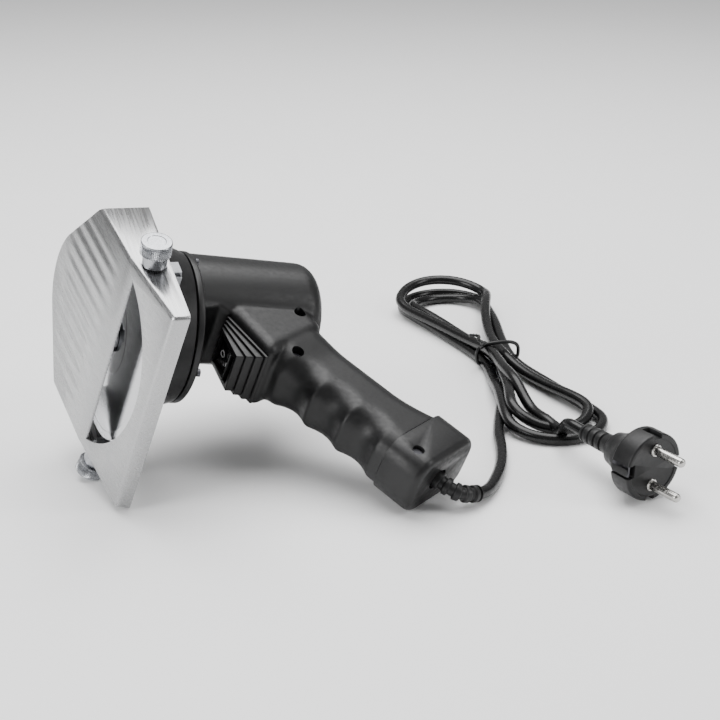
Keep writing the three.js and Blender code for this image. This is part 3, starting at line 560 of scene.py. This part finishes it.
# Lays the cord down in order: each stretch rides over what already lies there
def layDown(flat):
    diameter = cord["diameter"]
    nesting, settling = 0.92, 0.985
    count = len(flat)
    height = np.full(count, diameter / 2 + cord["clearance"])
    neighbours = int(20 / cord["step"])
    for index in range(neighbours, count):
        gaps = np.linalg.norm(flat[:index - neighbours] - flat[index], axis=1)
        near = gaps < diameter
        if near.any():
            lift = height[:index - neighbours][near] + np.sqrt(diameter ** 2 - gaps[near] ** 2) * nesting
            height[index] = max(height[index], lift.max())
    needed = height.copy()
    for _ in range(40):
        eased(height, 1)
        height = np.maximum(height, needed * settling)
    return eased(height, 10)


# The last loop stands a little off the ones below it
def lastLoopLift(count):
    marks = np.arange(count) * cord["step"]
    fromEnd = marks[-1] - marks
    loop = cord["lastLoop"]
    rise = np.exp(-((fromEnd - loop["fromEnd"]) / loop["spread"]) ** 2)
    return cord["diameter"] / 2 + cord["clearance"] + loop["rise"] * rise


def cordRoute():
    flat = eased(evenly(flatRoute(), cord["step"]), 3)
    height = layDown(flat)
    lead = evenly([Vector(p) for p in exitRoute], cord["step"])
    height[:len(lead)] = np.maximum(height[:len(lead)], lead[:, 2])
    height = np.maximum(height, lastLoopLift(len(flat)))
    route = np.column_stack([flat, np.minimum(height, cord["highest"])])
    inPlug = [plugFrame @ Vector((x, 0, 0)) / mm for x in (-66, -57, -46)]
    tail = evenly([Vector(route[-6]), Vector(route[-1]) + Vector((0, 0, 1.0)), *inPlug], cord["step"])
    route = np.vstack([route[:-6], tail])
    return eased(route, 2)


def addCord():
    route = cordRoute()
    curve = bpy.data.curves.new("power_cord", "CURVE")
    curve.dimensions = "3D"
    curve.bevel_depth = cord["diameter"] / 2 * mm
    curve.bevel_resolution = 7
    curve.use_fill_caps = True
    spline = curve.splines.new("POLY")
    spline.points.add(len(route) - 1)
    for point, (x, y, z) in zip(spline.points, route):
        point.co = (x * mm, y * mm, z * mm, 1)
    spline.use_smooth = True
    piece = bpy.data.objects.new("power_cord", curve)
    bpy.context.scene.collection.objects.link(piece)
    curve.materials.append(cordSheath)
    length = float(np.linalg.norm(np.diff(route, axis=0), axis=1).sum()) * mm
    report(f"cord is {length:.3f} m long, highest point {route[:, 2].max():.1f} mm")
    return piece, route, length


powerCord, cordPath, cordLength = addCord()
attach(powerCord, rootBody)


# Plug
plug = {"radius": 18.3, "pinSpacing": 19.0, "pinLength": 19.0, "pinRadius": 2.4}


def addPlugBody():
    profile = [(-52, 0), (-52, 4.6), (-51.4, 5.0)]
    for rib in range(4):
        x = -48.6 + rib * 4.6
        profile += [(x - 1.6, 5.1 + 0.1 * rib), (x - 1.3, 4.3), (x - 0.2, 4.3), (x + 0.1, 5.15 + 0.1 * rib)]
    profile += [(-31, 5.7), (-29.5, 6.4), (-28.6, 8.2), (-27.6, 9.0)]
    profile += [(-24, 9.8), (-19, 12.0), (-15, 14.6), (-13.2, 15.6)]
    profile += arcProfile(-11.4, plug["radius"] - 1.4, 1.4, 170, 90)
    profile += arcProfile(-1.0, plug["radius"] - 1.0, 1.0, 90, 0)
    profile += [(0, 15.6), (-0.5, 15.2), (-0.5, 0)]
    body = lathe("plug_body_look", profile, 128)
    for side in (1, -1):
        combine(body, block("slot", -14, 1, side * 16.4 - 1.8, side * 16.4 + 3.5, -3.5, 3.5))
        combine(body, block("guide", -9, 1, -2.6, 2.6, side * 17.6 - 1.9, side * 17.6 + 1.9))
        combine(body, block("neckFlat", -26, -15, side * 15 - 3.2, side * 15 + 3.2, -6.5, 6.5))
    bevelled(body, 0.35, 2, 40)
    return settle(body, plugRubber, rootBody, ["plug_body"], plugFrame, 40)


def addPin(name, side):
    reach = plug["pinLength"]
    edge = 1.6
    profile = [(-1.2, 0), (-1.2, plug["pinRadius"])]
    profile += arcProfile(reach - edge, plug["pinRadius"] - edge, edge, 90, 0)
    profile += [(reach, 0)]
    pin = lathe(name + "_look", profile, 40)
    collar = lathe("collar", [(-1.0, 0), (-1.0, 3.3), (0.25, 3.3), (0.5, 3.0), (0.5, 0)], 40)
    pin = joined([pin, collar])
    pin.data.transform(Matrix.Translation((0, 0, side * plug["pinSpacing"] / 2)))
    return settle(pin, pinNickel, rootBody, [name], plugFrame, 40)


plugPieces = [addPlugBody(), addPin("plug_pin_upper", 1), addPin("plug_pin_lower", -1)]
report("plug made")


# Tube along a route, with its own radius at each point
def tubeAlong(name, route, radii, sides=32):
    vertices = []
    count = len(route)
    points = [Vector(p) for p in route]
    normal = Vector((0, 0, 1))
    for index, point in enumerate(points):
        tangent = (points[min(index + 1, count - 1)] - points[max(index - 1, 0)]).normalized()
        normal = (normal - normal.dot(tangent) * tangent).normalized()
        across = tangent.cross(normal)
        for side in range(sides):
            turn = 2 * math.pi * side / sides
            vertices.append(point + radii[index] * (math.cos(turn) * normal + math.sin(turn) * across))
    faces = [tuple(range(sides)), tuple(range(len(vertices) - 1, len(vertices) - sides - 1, -1))]
    return outwards(newPiece(name, vertices, faces + ringFaces(count, sides)))


sleeveRoute = [(-134, 106, 11), (-140.5, 107, 8.4), (-147.5, 105, 6.4)]


def addStrainRelief():
    foot = 161.0
    start = knifeFrame @ handlePoint(foot - 6, -62) / mm
    leave = knifeFrame @ handlePoint(foot + 2, -62) / mm
    route = [start, leave] + [Vector(point) + tableShift for point in sleeveRoute]
    even = evenly(route, 0.22)
    radii = []
    for index in range(len(even)):
        share = index / (len(even) - 1)
        base = 4.95 - 0.5 * share
        ridge = 0.5 + 0.5 * math.tanh(6 * math.sin(2 * math.pi * (share * 6.0 - 0.1)))
        radii.append(base - (1.25 * (1 - ridge) if 0.2 < share < 0.97 else 0.0))
    radii[-1] = 3.6
    piece = tubeAlong("strain_relief_look", even, radii)
    return settle(piece, plugRubber, rootBody, ["strain_relief"], Matrix.Scale(mm, 4), 60)


addStrainRelief()


# Wire tie round the waist of the bundle
def addTie():
    half = 13.8
    top = 15.8
    ring = []
    for step in range(60):
        turn = 2 * math.pi * step / 60
        across = half * math.copysign(abs(math.cos(turn)) ** 0.7, math.cos(turn))
        height = top / 2 + 0.6 + (top / 2) * math.copysign(abs(math.sin(turn)) ** 0.7, math.sin(turn))
        ring.append((across, height))
    along = 3.0
    loop = []
    for index, (across, height) in enumerate(ring):
        spot = bundlePoint(along + 0.9 * math.sin(index / 9), across)
        loop.append(Vector((spot.x, spot.y, height)))
    loop.append(loop[0].copy())
    band = tubeAlong("tie_band", loop, [1.15] * len(loop), 14)
    pieces = [band]
    for end in (1, -1):
        twist = []
        for step in range(26):
            share = step / 25
            across = half * 0.72 + 4.0 * share + 1.1 * math.sin(9 * share)
            spot = bundlePoint(along + end * (1.0 + 9.5 * share), across)
            twist.append(Vector((spot.x, spot.y, top + 1.0 + 2.3 * math.sin(2.6 * share))))
        radii = [1.0 + 0.25 * math.sin(index * 2.1) for index in range(26)]
        pieces.append(tubeAlong("tie_end", twist, radii, 12))
    tie = joined(pieces)
    return settle(tie, tiePlastic, rootBody, ["cord_tie"], Matrix.Scale(mm, 4), 60)


addTie()
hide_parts("power_cord_lead", "power_cord_bundle", "power_cord_tail")
report("cord and tie made")


# Guard's outside, or the space inside it when it is inset by the sheet's thickness
def guardSolid(inset, rounding):
    back, front, over = -20, 50, 20
    rise = guard["soleSlope"] * over
    outline = [(back, guard["bottom"] + inset), (guard["lipDepth"] - inset, guard["bottom"] + inset),
               (guard["bendDepth"] - inset, guard["bendHeight"]),
               (guard["soleDepth"] - inset + rise, guard["top"] + over), (back, guard["top"] + over)]
    solid = prism("guardSolid", outline, -80, 80, "Y")
    lean = math.tan(guard["flare"])
    wide = guard["halfWidth"] - inset - back * lean
    narrow = guard["halfWidth"] - inset - front * lean
    flare = prism("flare", [(back, -wide), (front, -narrow), (front, narrow), (back, wide)], -90, 90, "Z")
    combine(solid, flare, "INTERSECT")
    return bevelled(solid, rounding, 4, 3)


# The guard seen from the front, with sloping shoulders and a round crown
def guardOutline():
    lean = math.tan(guard["flare"])
    shoulder = guard["halfWidth"] - 24 * lean
    wide = guard["halfWidth"] + 6
    shoulderHeight = 0.43 * guard["top"]
    slant = math.radians(39)
    crown = 0.62 * guard["halfWidth"]
    outline = [(-wide, guard["bottom"] - 2), (wide, guard["bottom"] - 2), (wide, shoulderHeight)]
    outline.append((shoulder, shoulderHeight))
    for step in range(29):
        turn = math.pi / 2 - slant + 2 * slant * step / 28
        outline.append((crown * math.cos(turn), guard["top"] - crown + crown * math.sin(turn)))
    return outline + [(-shoulder, shoulderHeight), (-wide, shoulderHeight)]


# Place of the slot and thumb screw on a flange, with Y out of it
def flangeFrame(side):
    reach = guard["halfWidth"] - guard["lipDepth"] * math.tan(guard["flare"])
    turn = Matrix.Rotation(-side * guard["flare"], 4, "Z")
    if side < 0:
        turn = turn @ Matrix.Rotation(math.pi, 4, "X")
    return Matrix.Translation((guard["lipDepth"], side * reach, guard["slotChord"])) @ turn


def addGuard():
    body = guardSolid(0, guard["outerRounding"])
    combine(body, guardSolid(guard["sheet"], guard["innerRounding"]))
    combine(body, prism("outline", guardOutline(), 0.0, 70, "X"), "INTERSECT")
    moon = cylinderAlong("moon", guard["slotRadius"], 2, 40, "X", steps=160)
    combine(moon, block("half", 0, 50, -70, 70, -70, guard["slotChord"]), "INTERSECT")
    combine(body, moon)
    half, reach = 2.8, 3
    for side in (1, -1):
        slot = block("slot", -reach, reach, -6, 6, -half, half)
        for end in (-reach, reach):
            combine(slot, cylinderAlong("end", half, -6, 6, "Y", end, 0, 24), "UNION")
        slot.data.transform(flangeFrame(side))
        combine(body, outwards(slot))
    bevelled(body, 0.22, 2, 42)
    settle(body, sheetSteel, "guard", ["blade_guard"], knifeFrame, 28)
    # Faces turned to the back, inside the guard, take the near-black steel as painted shade
    body.data.materials.append(guardInsidePaintedShade)
    forward = knifeTurn.to_3x3() @ Vector((1, 0, 0))
    for face in body.data.polygons:
        face.material_index = 1 if face.normal.dot(forward) < -0.3 else 0
    return body


addGuard()
report("guard made")


# Blade
def addBlade():
    profile = [(7.5, 5.3), (7.5, 49.2), (8.6, 54.0), (8.75, 54.0), (9.0, 50.6), (9.0, 50.2), (8.9, 50.0),
               (8.9, 20.4), (9.0, 20.2), (9.0, 5.3), (7.5, 5.3)]
    blade = lathe("blade_look", profile, 200)
    return settle(blade, bladeSteel, "cutter", ["blade"], knifeFrame, 20)


addBlade()


# Thumb screws, with lengths counted out from the flange
thumbScrew = {
    "reach": 14.0, "radius": 7.6, "knurls": 25, "bandLow": 7.6, "bandHigh": 12.9, "knurlDepth": 0.36,
    "knurlSlant": 3.6, "steps": 300,
}


# Diamond knurl: two sets of slanting grooves that cross
def knurl(x, radius, step):
    if not thumbScrew["bandLow"] < x < thumbScrew["bandHigh"] or radius < 7:
        return 0.0
    turn = 2 * math.pi * step / thumbScrew["steps"]
    along = thumbScrew["knurlSlant"] * (x - thumbScrew["bandLow"])
    count = thumbScrew["knurls"]
    return thumbScrew["knurlDepth"] * (math.cos(count * turn + along) * math.cos(count * turn - along) - 1)


def addThumbScrew(name, side, body):
    r, reach = thumbScrew["radius"], thumbScrew["reach"]
    profile = [(0.6, 0), (0.6, 5.7), (0.9, 6.0), (6.2, 6.0), (6.5, 5.6), (6.7, 6.2), (7.3, r)]
    profile += [(7.5 + 0.3 * ring, r) for ring in range(19)]
    profile += arcProfile(reach - 0.7, r - 0.7, 0.7, 60, 0, 4)
    profile += [(reach, 4.6), (reach - 0.25, 4.3), (reach - 0.25, 0)]
    piece = lathe(name + "_look", profile, thumbScrew["steps"], knurl)
    piece.data.transform(flangeFrame(side) @ Matrix.Rotation(math.pi / 2, 4, "Z"))
    return settle(piece, screwChrome, body, [name], knifeFrame, 25)


addThumbScrew("thumb_screw_left", 1, "screw_left")
addThumbScrew("thumb_screw_right", -1, "screw_right")
report("blade and thumb screws made")


# Gear case and its back plate
gearCaseHeight = 9.5


def addGearCase():
    profile = [(-23.6, 0), (-23.6, 38.9)] + arcProfile(-22.8, 39.3, 0.8, 180, 100)
    profile += [(-16.5, 42.1), (-8.5, 45.6)] + arcProfile(-7.6, 44.6, 1.4, 100, 0)
    profile += [(-6.1, 43.2), (-5.2, 42.2), (-5.0, 40.8)]
    profile += [(-5.0, 13.0), (-5.6, 12.4), (-5.6, 8.3), (-5.0, 7.6), (-5.0, 0)]
    piece = lathe("gear_case_look", profile, 160)
    piece.data.transform(Matrix.Translation((0, 0, gearCaseHeight)))
    return settle(piece, casePlastic, rootBody, ["gear_case"], knifeFrame, 30)


def addCasePlate():
    profile = [(-28.0, 0), (-28.0, 39.0)] + arcProfile(-27.0, 39.0, 1.0, 180, 90)
    profile += arcProfile(-24.9, 39.4, 0.6, 90, 0) + [(-24.3, 0)]
    piece = lathe("gear_case_plate_look", profile, 160)
    piece.data.transform(Matrix.Translation((0, 0, gearCaseHeight)))
    return settle(piece, casePlastic, rootBody, ["gear_case_plate"], knifeFrame, 30)


addGearCase()
addCasePlate()
report("gear case made")

# Body: barrel, cheeks and handle
body = {
    "barrelRadius": 29.5, "barrelHeight": 27.0, "front": -28.3, "back": -106.3, "rounding": 10.0,
    "cheekHalf": 20.0, "gripHalfDepth": 21.0, "gripHalfWidth": 16.5, "gripCentre": 62.0, "gripCorner": 13,
    "handleLength": 138.0, "capSwell": 2.6, "swellStart": 112, "cheekSwell": 3.0,
    "grooveStart": 67.0, "grooveStep": 21.5, "grooves": 3, "grooveDepth": 3.9,
    "screws": ((-89, 3, 19), (-79, -28, 17)), "voxel": 0.85,
}
switchLow = (-62.5, -33.0)
switchHigh = (-50.0, 2.0)


def barrel():
    r, front, back, soft = body["barrelRadius"], body["front"], body["back"], body["rounding"]
    profile = [(back, 0)] + arcProfile(back + soft, r - soft, soft, 180, 90, 8)
    profile += [(front - 0.6, r), (front, r - 0.6), (front, 0)]
    piece = lathe("barrel", profile, 96)
    piece.data.transform(Matrix.Translation((0, 0, body["barrelHeight"])))
    return piece


def cheeks():
    corner = handlePoint(60, -body["gripCentre"] - body["gripHalfDepth"] + 1)
    outline = [(body["front"], 18), (body["front"], -4), switchHigh, switchLow]
    outline += [(corner.x, corner.z), (-97, 4), (-99, 18)]
    return bevelled(prism("cheeks", outline, -body["cheekHalf"], body["cheekHalf"], "Y"), 6.5, 4, 20)


def fingerSpace():
    outline = [(body["front"] + 2, 0.5), (-36, 2.5), (-44, 4.5), switchHigh, switchLow]
    outline += [(-40, -60), (10, -60), (10, 0.5)]
    return prism("fingerSpace", outline, -60, 60, "Y")


# How far the finger grooves cut in at a place down the handle
def grooveDepth(down):
    share = (down - body["grooveStart"]) / body["grooveStep"]
    if not 0 < share < body["grooves"]:
        return 0.0
    return body["grooveDepth"] * abs(math.sin(math.pi * share)) ** 0.8


# Handle bar with finger grooves, wider near the cheeks and swelling towards the cap
def flaredGrip():
    depth, length = body["gripHalfDepth"], body["handleLength"]
    rings = []
    for index in range(68):
        down = 40 + 1.5 * index
        swell = min(1.0, max(0.0, (down - body["swellStart"]) / (length - body["swellStart"]))) ** 1.8
        blend = min(1.0, max(0.0, (80 - down) / 28))
        width = body["gripHalfWidth"] + body["cheekSwell"] * blend * blend * (3 - 2 * blend) + 0.4 * swell
        groove = grooveDepth(down)
        centre = body["gripCentre"] + body["capSwell"] * swell + groove / 2
        halfDepth = depth + body["capSwell"] * swell - groove / 2
        outline = gripOutline(halfDepth, width, body["gripCorner"], centre)
        rings.append([(x, y, down) for x, y in outline])
    count = len(rings[0])
    last = (len(rings) - 1) * count
    faces = [tuple(range(count)), tuple(last + index for index in reversed(range(count)))]
    faces += ringFaces(len(rings), count)
    piece = newPiece("body_look", [vertex for ring in rings for vertex in ring], faces)
    piece.data.transform(handleFrame)
    return outwards(piece)


def addBody():
    shell = flaredGrip()
    combine(shell, cheeks(), "UNION")
    combine(shell, barrel(), "UNION")
    combine(shell, fingerSpace())
    applyModifier(shell, "REMESH", mode="VOXEL", voxel_size=body["voxel"])
    applyModifier(shell, "SMOOTH", factor=0.5, iterations=11)
    combine(shell, gripBar("foot", 60, 60, 5, body["gripCentre"], body["handleLength"], 200))
    for x, z, outer in body["screws"]:
        combine(shell, cylinderAlong("hole", 3.3, outer - 5, 40, "Y", x, z, 40))
    shells = ["body_shell_left", "body_shell_right"]
    return settle(shell, bodyPlastic, rootBody, shells, knifeFrame, 50)


addBody()
report("body made")


# End cap
endCap = {
    "halfDepth": 25.0, "halfWidth": 17.0, "centre": 65.5, "from": 138.3, "to": 161.0, "holeRadius": 3.0,
    "glandSeat": 159.2,
}


def addEndCap():
    cap = gripBar("handle_end_cap_look", endCap["halfDepth"], endCap["halfWidth"], 11, endCap["centre"],
                  endCap["from"] - 8, endCap["to"], 12)
    bevelled(cap, 3.6, 6, 60)
    combine(cap, gripBar("above", 60, 60, 5, endCap["centre"], endCap["from"] - 20, endCap["from"]))
    side = handlePoint(150, -50)
    combine(cap, cylinderAlong("hole", endCap["holeRadius"], 13.4, 40, "Y", side.x, side.z, 40))
    back = cylinderAlong("hole", endCap["holeRadius"], -4.5, 6, "X", 0, 0, 40)
    back.data.transform(handleFrame @ Matrix.Translation((-endCap["centre"] - endCap["halfDepth"], 0, 147)))
    combine(cap, outwards(back))
    combine(cap, gripBar("gland", 6.4, 5.6, 5.5, 62, endCap["glandSeat"], 170))
    bevelled(cap, 0.3, 2, 50)
    return settle(cap, bodyPlastic, rootBody, ["handle_end_cap"], knifeFrame, 30)


addEndCap()


# Rocker switch
rocker = {"pivot": (-50.0, -15.5), "half": 8.2, "openingHalf": 8.7, "markRadius": 0.26}


# Switch frame in steps that narrow towards the rocker
def addBezel():
    innerLow, innerHigh = (-48.8, -28.6), (-47.0, -2.4)
    steps = 4
    whole = None
    for step in range(steps):
        share = step / (steps - 1)
        low = [a + (b - a) * share for a, b in zip(switchLow, innerLow)]
        high = [a + (b - a) * share for a, b in zip(switchHigh, innerHigh)]
        half = 15.5 - 4.0 * share
        back = 0.0 if step == 0 else -3.5
        outline = [(low[0] + back, low[1] + 1), (low[0] + 1.9, low[1] + 1), (high[0] + 1.9, high[1] - 1),
                   (high[0] + back, high[1] - 1)]
        layer = prism("layer", outline, -half, half, "Y")
        bevelled(layer, 0.5, 3, 40)
        whole = layer if whole is None else combine(whole, layer, "UNION")
    lean = (switchHigh[0] - switchLow[0]) / (switchHigh[1] - switchLow[1])
    seat = switchLow[0] + 0.3
    foot, head = switchLow[1] - 10, switchHigh[1] + 10
    outline = [(seat - 10 * lean, foot), (0, foot), (0, head), (seat + (head - switchLow[1]) * lean, head)]
    ahead = prism("ahead", outline, -20, 20, "Y")
    combine(whole, ahead, "INTERSECT")
    middle = rocker["pivot"][1]
    half = rocker["openingHalf"]
    combine(whole, block("opening", -58, -40, -half, half, middle - 10, middle + 10))
    return settle(whole, switchPlastic, rootBody, ["switch_bezel"], knifeFrame, 30)


# How far the rocker's face stands out at a height: most at its lower end, least in the middle
def rockerFace(z):
    lower = max(0.0, -z / 8)
    upper = max(0.0, z / 8)
    return 2.3 + 2.9 * lower ** 1.4 + 1.4 * upper ** 1.4


def addRocker():
    outline = [(rockerFace(z), z) for z in np.linspace(-8.0, 8.2, 25)]
    outline += [(-3.0, 7.5), (-3.6, 0), (-3.0, -7.5)]
    piece = prism("switch_rocker_look", outline, -rocker["half"], rocker["half"], "Y")
    bevelled(piece, 0.45, 3, 50)
    piece.data.transform(Matrix.Translation((rocker["pivot"][0], 0, rocker["pivot"][1])))
    return settle(piece, rockerPlastic, "rocker", ["switch_rocker"], knifeFrame, 30)


# Painted ring and bar on the rocker
def addMarks():
    ring = []
    sides, radius, middle = 48, 1.7, 4.4
    for step in range(sides + 1):
        turn = 2 * math.pi * step / sides
        height = middle + radius * math.sin(turn)
        ring.append(Vector((rockerFace(height), radius * math.cos(turn), height)))
    bar = [Vector((rockerFace(height), 0, height)) for height in np.linspace(-6.4, -3.2, 12)]
    thick = rocker["markRadius"]
    piece = joined([tubeAlong("mark_o", ring, [thick] * len(ring), 8),
                    tubeAlong("mark_i", bar, [thick] * len(bar), 8)])
    piece.data.transform(Matrix.Translation((rocker["pivot"][0], 0, rocker["pivot"][1])))
    return settle(piece, markPaint, "rocker", (), knifeFrame, 50)


addBezel()
addRocker()
addMarks()
report("switch and cap made")


# Floor and light
def addFloor():
    floor = newPiece("floor", [(-6, -6, 0), (6, -6, 0), (6, 6, 0), (-6, 6, 0)], [(0, 1, 2, 3)])
    material, nodes, links, shader = newMaterial("floor_look")
    vector = objectCoordinates(nodes)
    cloud = noise(nodes, links, vector, 3, 2)
    colour = mixColours(nodes, links, cloud, (0.90, 0.90, 0.905), (0.94, 0.94, 0.94))
    links.new(colour, shader.inputs["Base Color"])
    links.new(remap(nodes, links, noise(nodes, links, vector, 60, 2), 0.5, 0.6), shader.inputs["Roughness"])
    floor.data.materials.append(material)


def addLight(name, place, target, size, power, sizeY=None):
    data = bpy.data.lights.new(name, "AREA")
    data.shape = "RECTANGLE"
    data.size = size
    data.size_y = sizeY or size
    data.energy = power
    light = bpy.data.objects.new(name, data)
    direction = Vector(target) - Vector(place)
    light.matrix_world = Matrix.Translation(place) @ direction.to_track_quat("-Z", "Y").to_matrix().to_4x4()
    bpy.context.scene.collection.objects.link(light)


def addWorld(strength):
    world = bpy.data.worlds.new("world")
    world.use_nodes = True
    background = world.node_tree.nodes["Background"]
    background.inputs["Color"].default_value = (1, 1, 1, 1)
    background.inputs["Strength"].default_value = strength
    bpy.context.scene.world = world


addFloor()
addLight("top", (-0.15, -0.35, 1.25), (-0.05, 0, 0), 1.3, 34)
addLight("left", (1.25, 0.15, 0.55), (0.05, 0, 0.05), 0.55, 13, 0.9)
addLight("right", (-1.05, 0.7, 0.75), (-0.05, 0, 0.03), 0.35, 7, 0.9)
addWorld(0.40)
report("scene made")
